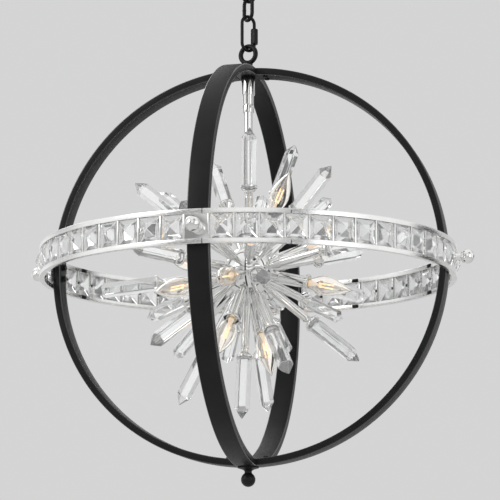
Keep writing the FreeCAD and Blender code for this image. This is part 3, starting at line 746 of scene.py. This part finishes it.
def build_quick_link():
    """Oval link, threaded at the gap in one leg, and the hexagonal sleeve that closes it."""
    wire = sizes().link_wire / 2
    half_width, half_straight = LINK_HALF_WIDTH - wire, height_of("quick_link") / 2 - LINK_HALF_WIDTH
    centre, along = centre_of("quick_link"), swing_axis("orb_swing")
    whole = 2 * math.pi * half_width + 4 * half_straight
    gap_low, gap_high = 3 * MM, 8 * MM
    thread_end, pitch, thread_depth = gap_high + 14 * MM, 1.0 * MM, 0.42 * MM

    def threaded(length, angle):
        walk = length % whole
        if thread_end < walk < whole - 1 * MM:
            return wire
        wave = abs(((walk / pitch + angle / (2 * math.pi)) % 1.0) * 2 - 1)
        return wire - thread_depth * wave

    def stretch(start, end, steps):
        return loop_rows(half_width, half_straight, centre, along, wire, start, end, steps, threaded)

    bm = bmesh.new()
    thread = stretch(gap_high / whole, thread_end / whole, 112)
    rest = stretch(thread_end / whole, 1 + gap_low / whole, 190)
    sweep(bm, thread + rest[1:], closed=False)
    make_piece("quick_link_wire", bm, "chain_coat", "black_metal", "quick_link", body="quick_link")

    height, low = height_of("quick_link_sleeve"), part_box("quick_link_sleeve")[0]
    flat, corner, bore, edge = 6.5 * MM, 7.5 * MM, wire + 0.08 * MM, 0.4 * MM
    cut, foot = 1.8 * MM, flat - 0.3 * MM
    outline = [
        (bore, edge), (bore + edge, 0), (foot, 0), (flat + edge, cut * 0.6), (corner, cut),
        (corner, height - cut), (flat + edge, height - cut * 0.6), (foot, height),
        (bore + edge, height), (bore, height - edge),
    ]
    make_turning("quick_link_sleeve_nut", outline, "chain_coat", "black_metal", "quick_link_sleeve",
                 places=[Matrix.Translation(along * half_width + UP * low.z)], body="quick_link_sleeve",
                 closed=True, steps=72, shape=hexagonal(flat, math.atan2(along.y, along.x)), sharp=25)


def cast_loop(name, node, body, along, ring, wire, height, turnings):
    """Cast ring, with its middle at this height, grown together with its turned shank."""
    bm = bmesh.new()
    rows = loop_rows(ring - wire, 0.0, Vector((0, 0, height)), along, wire)
    sweep(bm, rows[:-1], closed=True)
    for outline in turnings:
        lathe(bm, outline, steps=48)
    piece = make_piece(name, bm, "chain_coat", "black_metal", node, body=body, sharp=60)
    remesh = piece.modifiers.new("one casting", "REMESH")
    remesh.mode = "VOXEL"
    remesh.voxel_size = 0.45 * MM
    remesh.use_smooth_shade = True
    smooth = piece.modifiers.new("cast fillets", "SMOOTH")
    smooth.factor = 0.6
    smooth.iterations = 5


def build_loops():
    """The orb's loop on the upper pole and the canopy's loop above the chain."""
    low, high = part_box("orb_loop")
    foot = ORB.z + HOOP_RADIUS
    ring, wire, turn = 20 * MM, 4.5 * MM, math.radians(-16)
    head = high.z - 2 * ring + wire
    shank = in_mm([(0, 0), (14, 0), (14, 2.6), (9.5, 4), (8.4, 6)], foot) + [(8.4 * MM, head), (0, head)]
    stud = [(0, low.z), (5 * MM, low.z), (5 * MM, foot + 1 * MM), (0, foot + 1 * MM)]
    cast_loop("orb_loop_casting", "orb_loop", "orb", Vector((math.cos(turn), math.sin(turn), 0)), ring, wire,
              high.z - ring, [eased(shank, 0.5 * MM), stud])

    low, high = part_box("canopy_loop")
    ring, wire = 19 * MM, 3.5 * MM
    shank = in_mm([(0, -11), (8, -11), (10, -8), (10, 0), (5, 0), (5, -6), (0, -6)], high.z)
    cast_loop("canopy_loop_casting", "canopy_loop", "ceiling_fitting", swing_axis("upper_link_swing"), ring,
              wire, low.z + ring, [eased(shank, 0.5 * MM)])


def build_canopy():
    """Spun steel canopy with a rolled lip, and the ring that holds it up."""
    low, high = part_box("ceiling_canopy")
    wall, nose, lip, hole = 1.2 * MM, 16 * MM, 4 * MM, 5.1 * MM
    outline = []
    for inset in (0.0, wall):
        edge, bottom = high.x - inset, low.z + inset
        reach, rise = edge - nose, high.z - bottom - lip
        curve = (reach ** 2 + rise ** 2) / 2 / rise
        half = math.asin(reach / curve)
        points = [Vector((edge, high.z)), Vector((edge, high.z - lip * 0.5))]
        for step in range(CURVE_STEPS + 1):
            angle = half * (1 - step / CURVE_STEPS)
            points.append(Vector((nose + curve * math.sin(angle), bottom + curve * (1 - math.cos(angle)))))
        points.append(Vector((hole, bottom)))
        outline += points if inset == 0.0 else points[::-1]
    make_turning("canopy_spinning", outline, "hoop_coat", "black_metal", "ceiling_canopy",
                 body="ceiling_fitting", closed=True, steps=96)

    low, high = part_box("canopy_lock_ring")
    middle, hole, shoulder, land = (low.z + high.z) / 2, 5 * MM, 11.5 * MM, 1.6 * MM
    outline = eased([
        (hole, low.z), (shoulder, low.z), (high.x, middle - land), (high.x, middle + land),
        (shoulder, high.z), (hole, high.z),
    ], 0.6 * MM, closed=True)

    def knurled(angle, radius, height):
        if radius < 12.4 * MM:
            return radius
        return radius - 0.35 * MM * abs(math.sin(30 * angle))

    make_turning("canopy_lock_ring_knurled", outline, "screw_coat", "black_metal", "canopy_lock_ring",
                 body="ceiling_fitting", closed=True, steps=240, shape=knurled)
    dress("plain_zinc", "mounting_crossbar", "hanging_nipple", "nipple_lock_nut", "ground_screw")


# ------------ stem and hub

def build_stem():
    """Lock ring and turned coupling under the upper pole, the stem and its collar on the hub."""
    low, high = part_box("stem_lock_ring")
    outline = [(5 * MM, low.z), (high.x, low.z), (high.x, high.z), (5 * MM, high.z)]
    make_turning("stem_lock_ring_turning", eased(outline, 0.9 * MM, closed=True), "screw_coat", "black_metal",
                 "stem_lock_ring", closed=True)

    low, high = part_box("stem_coupling")
    outline = in_mm([
        (0, 0), (12.2, 0), (12.2, -28), (10.4, -28), (10.4, -46), (7.8, -46), (7.8, -48), (10.8, -48),
    ], high.z) + in_mm([(10.8, 0), (8.3, 0), (0, 0)], low.z)
    make_turning("stem_coupling_turning", eased(outline, 0.6 * MM), "rod_plate", "chrome", "stem_coupling")

    foot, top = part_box("stem_tube")[0].z, low.z + 1 * MM
    outline = [(8.2 * MM, foot), (8.2 * MM, top), (5.5 * MM, top), (5.5 * MM, foot)]
    make_turning("stem_tubing", outline, "rod_plate", "chrome", "stem_tube", closed=True, steps=48)

    low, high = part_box("hub_collar")
    outline = in_mm([(8.25, 0), (12.5, 0)], low.z) + in_mm([(12.5, -5), (11, -4), (11, 0), (8.25, 0)], high.z)
    make_turning("hub_collar_turning", eased(outline, 0.8 * MM, closed=True), "mirror_plate", "chrome",
                 "hub_collar", closed=True, steps=48)


def build_hub():
    """Two half shells with a shallow groove where they meet; the upper one has the stem's hole."""
    wall, hole, groove = 4 * MM, 8.3 * MM, 0.5 * MM
    for side, node in ((1, "hub_upper_shell"), (-1, "hub_lower_shell")):
        outline = []
        start = math.asin(hole / HUB_RADIUS) if side > 0 else 0.0
        for radius, order in ((HUB_RADIUS, 1), (HUB_RADIUS - wall, -1)):
            points = []
            for step in range(CURVE_STEPS + 1):
                angle = start + (math.pi / 2 - start) * step / CURVE_STEPS
                points.append(Vector((radius * math.sin(angle), side * radius * math.cos(angle))))
            points[-1] = Vector((radius - groove, side * 0.05 * MM))
            points[-2] = Vector((points[-2].x, max(side * points[-2].y, 0.8 * MM) * side))
            outline += points[::order]
        make_turning(node + "_turning", outline, "mirror_plate", "chrome", node,
                     places=[Matrix.Translation(HUB)], closed=side > 0, steps=64)
    dress("plain_zinc", "hub_tie_rod")


# ------------ starburst

def build_spikes():
    """Turned rods from the hub, cups on their ends and pointed six-sided crystals in the cups."""
    rod = eased(in_mm([
        (0, 41), (5, 41), (5, 52), (7.7, 70), (7.7, 150), (6.6, 151.5), (6, 155), (0, 155),
    ]), 0.5 * MM)
    cup = eased(in_mm([
        (0, 155), (6, 155), (9, 158.5), (13, 163), (15.5, 165), (15.5, 168), (13.6, 168), (13.2, 166.8),
        (0, 166.8),
    ]), 0.45 * MM)
    width, start, end = sizes().prism_width, 167 * MM, 262 * MM
    loops = [hexagon(width - 3 * MM, start), hexagon(width, start + 4 * MM), hexagon(width, end)]
    tip = (0, 0, end + 21 * MM)
    for tier in ("upper", "middle", "lower"):
        places = [aimed(direction) for direction in directions("spike_rods_" + tier)]
        make_turning("spike_rod_set_" + tier, rod, "rod_plate", "chrome", "spike_rods_" + tier,
                     places=places, steps=32)
        make_turning("spike_cup_set_" + tier, cup, "mirror_plate", "chrome", "spike_cups_" + tier,
                     places=places, steps=40)
        prisms = bmesh.new()
        for place in places:
            cut_stone(prisms, loops, tip, place)
        make_piece("spike_crystal_set_" + tier, prisms, "spike_crystal", "crystal",
                   "spike_crystals_" + tier, sharp=0)


# ------------ lamps

def bulb_outline(inset):
    """Torpedo outline from neck to tip, drawn in by inset."""
    start, length, radius, neck = 118 * MM, 80 * MM, 17.5 * MM, 9 * MM
    points = []
    for share, wide in ((0.0, neck / radius), (0.1, 0.66), (0.24, 0.93), (0.38, 1.0), (0.55, 0.9),
                        (0.75, 0.58), (0.92, 0.2), (1.0, 0.0)):
        reach = max(0.0, wide * radius - (inset if share < 1 else 0))
        points.append(Vector((reach, start + share * (length - inset))))
    outline, steps = [], 6
    for index in range(len(points) - 1):
        before = points[max(0, index - 1)]
        first, second = points[index], points[index + 1]
        after = points[min(len(points) - 1, index + 2)]
        for step in range(steps):
            t = step / steps
            outline.append(0.5 * (
                2 * first + (second - before) * t + (2 * before - 5 * first + 4 * second - after) * t * t
                + (3 * first - before - 3 * second + after) * t ** 3
            ))
    return outline + [points[-1]]


def build_lamps():
    """Lamps on their arms: sleeve, drip ring, cap, and the bulb's glass, post and two filament sticks."""
    arm = in_mm([(6, 41), (6, 60), (4, 60), (4, 41)])
    sleeve = eased(in_mm([
        (4, 60), (9.5, 60), (11, 61.5), (11, 114), (10, 114), (10, 62), (4, 62),
    ]), 0.3 * MM, closed=True)
    ring = eased(in_mm([
        (11.02, 109), (13, 109), (14, 111.5), (15.5, 114.5), (15.5, 116.4), (14, 117), (9.1, 117),
        (9.1, 114.1), (11.02, 114.1),
    ]), 0.4 * MM, closed=True)
    cap = [(0, 90), (5, 90), (7, 92)]
    for turn in range(8):
        cap += [(7, 93 + 2 * turn), (6.3, 94 + 2 * turn)]
    cap = in_mm(cap + [(7, 110), (8.9, 112), (8.9, 118), (0, 118)])
    glass = bulb_outline(0.0) + bulb_outline(0.9 * MM)[::-1]
    post = in_mm([(0, 118), (5.5, 118), (4.4, 123), (2.2, 130), (1.4, 140), (0, 141)])
    stick = in_mm([(0, 0), (0.9, 0.3), (1.2, 1.5), (1.2, 26), (0.9, 27.3), (0, 27.6)])
    places = [aimed(direction) for direction in directions("candle_sleeves")]
    beside = [Matrix.Translation((side * 3.0 * MM, 0, 136 * MM)) for side in (-1, 1)]
    pairs = [place @ shift for place in places for shift in beside]
    make_turning("lamp_arm_set", arm, "rod_plate", "chrome", "lamp_arms",
                 places=places, closed=True, steps=32)
    make_turning("candle_sleeve_set", sleeve, "rod_plate", "chrome", "candle_sleeves",
                 places=places, closed=True, steps=48)
    make_turning("drip_ring_set", ring, "mirror_plate", "chrome", "drip_rings", places=places, closed=True)
    make_turning("bulb_cap_set", cap, "bright_brass", "brass_cap", "bulb_caps", places=places, steps=32)
    # The bulb's glass post glows with painted warm light, though it is no lamp.
    make_turning("bulb_post_set", post, "lit_post", "filament", places=places, steps=16)
    make_turning("bulb_stick_set", stick, "lit_filament", "filament", "bulb_filaments",
                 places=pairs, steps=12)
    make_turning("bulb_glass_set", glass, "bulb_glass", "amber_glass", "bulb_glasses",
                 places=places, closed=True, steps=48)
    dress("black_phenolic", "lamp_sockets")


# ------------ stage

# Bright windows of the studio, then its dark panels: the turn and rise of each in degrees, the
# angles from its middle where it starts and ends to fade, and its level.
WINDOWS = (
    (0, 90, 25, 62, 0.95), (-60, 9, 22, 40, 1.0), (95, 9, 20, 40, 1.0), (-133, -6, 12, 26, 1.0),
    (193, 10, 10, 20, 1.0), (12, 15, 12, 22, 1.0), (0, -90, 30, 75, 0.8),
    (-22, 10, 10, 16, 0.3), (53, 10, 15, 23, 0.32), (13, -18, 9, 16, 0.03), (127, 6, 7, 15, 0.03),
    (193, 31, 4, 8, 0.12), (166, 28, 4, 8, 0.2), (222, 28, 4, 8, 0.12), (-40, -38, 6, 14, 0.04),
    (51, 50, 5, 12, 0.04), (-96, -14, 4, 9, 0.05),
)


def look_along(thing, place, direction):
    """Put a lamp or camera at a place and turn it to look along a direction."""
    thing.location = place
    thing.rotation_mode = "QUATERNION"
    thing.rotation_quaternion = direction.to_track_quat("-Z", "Y")


def area_light(name, place, aim, size, power, colour):
    light = bpy.data.lights.new(name, "AREA")
    light.shape = "RECTANGLE"
    light.size, light.size_y = size
    light.energy = power
    light.color = colour
    look_along(add_object(name, light), place, aim - place)


def way(turn, rise):
    """Direction turned from the front towards the right, and raised, in degrees."""
    turn, rise = math.radians(turn), math.radians(rise)
    return Vector((math.sin(turn) * math.cos(rise), -math.cos(turn) * math.cos(rise), math.sin(rise)))


def window(tree, direction, turn, rise, inner, outer):
    """1 within inner degrees of a way out into the surroundings, fading to 0 at outer degrees."""
    turned = tree.nodes.new("ShaderNodeVectorMath")
    turned.operation = "DOT_PRODUCT"
    wired(tree, turned, {0: direction, 1: way(turn, rise)})
    fade = tree.nodes.new("ShaderNodeMapRange")
    fade.interpolation_type = "SMOOTHSTEP"
    wired(tree, fade, {
        "Value": turned.outputs["Value"],
        "From Min": math.cos(math.radians(outer)), "From Max": math.cos(math.radians(inner)),
    })
    return fade.outputs["Result"]


def build_world(colour):
    """Soft studio: windows and panels in a room as grey as the plain backdrop that the camera sees."""
    world = bpy.data.worlds.new("studio")
    bpy.context.scene.world = world
    world.use_nodes = True
    tree = world.node_tree
    direction = tree.nodes.new("ShaderNodeTexCoord").outputs["Generated"]
    room = colour
    for turn, rise, inner, outer, level in WINDOWS:
        room = mixed(tree, window(tree, direction, turn, rise, inner, outer), room, (level, level, level, 1))
    seen = tree.nodes.new("ShaderNodeLightPath").outputs["Is Camera Ray"]
    wired(tree, tree.nodes["Background"], {"Color": mixed(tree, seen, room, colour)})


def build_floor(colour):
    """Pale floor under the orb, seen only from above."""
    reach, drop = 14.0, 2.0
    bm = bmesh.new()
    corners = [(-reach, -reach), (reach, -reach), (reach, reach), (-reach, reach)]
    bm.faces.new([bm.verts.new((x, y, ORB.z - drop)) for x, y in corners])
    mesh = bpy.data.meshes.new("floor")
    bm.to_mesh(mesh)
    bm.free()
    material, tree, shader = new_finish("floor_paint", {"Base Color": colour, "Roughness": 0.7})
    chooser = wired(tree, tree.nodes.new("ShaderNodeMixShader"), {
        "Fac": tree.nodes.new("ShaderNodeNewGeometry").outputs["Backfacing"],
        1: shader.outputs["BSDF"],
        2: tree.nodes.new("ShaderNodeBsdfTransparent").outputs["BSDF"],
    })
    output = next(n for n in tree.nodes if n.type == "OUTPUT_MATERIAL")
    wired(tree, output, {"Surface": chooser.outputs["Shader"]})
    mesh.materials.append(material)
    add_object("floor", mesh)


def build_camera():
    """Camera at the photograph's place: a long lens a little below the orb's centre.

    The orb's centre is at this column and row of the photograph, and focal is in its pixels.
    """
    distance, back = 4.057, way(13.3, -10.34)
    image, orb_column, orb_row, focal = 500, 248.2, 265.7, 2238
    data = bpy.data.cameras.new("camera")
    data.sensor_width = 36
    data.lens = focal / image * data.sensor_width
    data.shift_x = (image / 2 - orb_column) / image
    data.shift_y = (orb_row - image / 2) / image
    camera = add_object("camera", data)
    look_along(camera, ORB + back * distance, -back)
    bpy.context.scene.camera = camera


def build_stage():
    """Surroundings, floor, camera and three soft lamps."""
    colour = tuple(colours().backdrop)
    build_world(colour)
    build_floor(colour)
    build_camera()
    area_light("key", ORB + Vector((-2.2, -2.6, 1.7)), ORB, (1.6, 1.6), 30, (1, 0.99, 0.97))
    area_light("fill", ORB + Vector((2.8, -1.8, 0.2)), ORB, (1.4, 2.0), 12, (0.97, 0.98, 1))
    area_light("back", ORB + Vector((-1.8, 2.2, 1.9)), ORB, (1.6, 1.0), 14, (1, 1, 1))
    bpy.context.scene.view_settings.view_transform = "Standard"


# ------------ operators and panel

class CHANDELIER_OT_hoops(bpy.types.Operator):
    """Build the black hoops, the joints at their poles and the finial"""
    bl_idname = "chandelier.hoops"
    bl_label = "Hoops and Finial"

    def execute(self, context):
        build_hoops()
        build_finial()
        return {"FINISHED"}


class CHANDELIER_OT_band(bpy.types.Operator):
    """Build the level band: rims, bars, clips and their screws"""
    bl_idname = "chandelier.band"
    bl_label = "Band"

    def execute(self, context):
        build_rims()
        build_bars()
        build_rim_clips()
        return {"FINISHED"}


class CHANDELIER_OT_band_crystals(bpy.types.Operator):
    """Build the square crystals between the band's bars"""
    bl_idname = "chandelier.band_crystals"
    bl_label = "Band Crystals"

    def execute(self, context):
        build_band_crystals()
        return {"FINISHED"}


class CHANDELIER_OT_crossings(bpy.types.Operator):
    """Build the plates, blocks, bolts and ball screws that join the band to the hoops"""
    bl_idname = "chandelier.crossings"
    bl_label = "Crossings"

    def execute(self, context):
        build_crossings()
        return {"FINISHED"}


class CHANDELIER_OT_canopy(bpy.types.Operator):
    """Build the ceiling canopy and its lock ring"""
    bl_idname = "chandelier.canopy"
    bl_label = "Canopy"

    def execute(self, context):
        build_canopy()
        return {"FINISHED"}


class CHANDELIER_OT_chain(bpy.types.Operator):
    """Build the chain's links, the quick link and the loops at both ends"""
    bl_idname = "chandelier.chain"
    bl_label = "Chain and Loops"

    def execute(self, context):
        build_chain()
        build_quick_link()
        build_loops()
        return {"FINISHED"}


class CHANDELIER_OT_stem(bpy.types.Operator):
    """Build the stem, its coupling and collar, and the hub"""
    bl_idname = "chandelier.stem"
    bl_label = "Stem and Hub"

    def execute(self, context):
        build_stem()
        build_hub()
        return {"FINISHED"}


class CHANDELIER_OT_spikes(bpy.types.Operator):
    """Build the starburst's rods, cups and pointed crystals"""
    bl_idname = "chandelier.spikes"
    bl_label = "Crystal Spikes"

    def execute(self, context):
        build_spikes()
        return {"FINISHED"}


class CHANDELIER_OT_lamps(bpy.types.Operator):
    """Build the twelve lamps with their sleeves, drip rings and bulbs"""
    bl_idname = "chandelier.lamps"
    bl_label = "Lamps"

    def execute(self, context):
        build_lamps()
        return {"FINISHED"}


class CHANDELIER_OT_stage(bpy.types.Operator):
    """Build the floor, the studio's light and the camera"""
    bl_idname = "chandelier.stage"
    bl_label = "Stage"

    def execute(self, context):
        build_stage()
        return {"FINISHED"}


OPERATORS = (
    CHANDELIER_OT_hoops, CHANDELIER_OT_band, CHANDELIER_OT_band_crystals, CHANDELIER_OT_crossings,
    CHANDELIER_OT_canopy, CHANDELIER_OT_chain, CHANDELIER_OT_stem, CHANDELIER_OT_spikes, CHANDELIER_OT_lamps,
    CHANDELIER_OT_stage,
)


class CHANDELIER_PT_panel(bpy.types.Panel):
    """Sidebar panel that lists the operators"""
    bl_label = "Orb Chandelier"
    bl_space_type = "VIEW_3D"
    bl_region_type = "UI"
    bl_category = "Chandelier"

    def draw(self, context):
        for item in OPERATORS:
            self.layout.operator(item.bl_idname)


CLASSES = (ChandelierSizes, ChandelierColours, *OPERATORS, CHANDELIER_PT_panel)


def register():
    for item in CLASSES:
        bpy.utils.register_class(item)
    bpy.types.Scene.chandelier_sizes = bpy.props.PointerProperty(type=ChandelierSizes)
    bpy.types.Scene.chandelier_colours = bpy.props.PointerProperty(type=ChandelierColours)


def unregister():
    del bpy.types.Scene.chandelier_colours
    del bpy.types.Scene.chandelier_sizes
    for item in reversed(CLASSES):
        bpy.utils.unregister_class(item)


def main():
    register()
    bpy.ops.chandelier.hoops()
    bpy.ops.chandelier.band()
    bpy.ops.chandelier.band_crystals()
    bpy.ops.chandelier.crossings()
    bpy.ops.chandelier.canopy()
    bpy.ops.chandelier.chain()
    bpy.ops.chandelier.stem()
    bpy.ops.chandelier.spikes()
    bpy.ops.chandelier.lamps()
    bpy.ops.chandelier.stage()


if __name__ == "__main__":
    main()
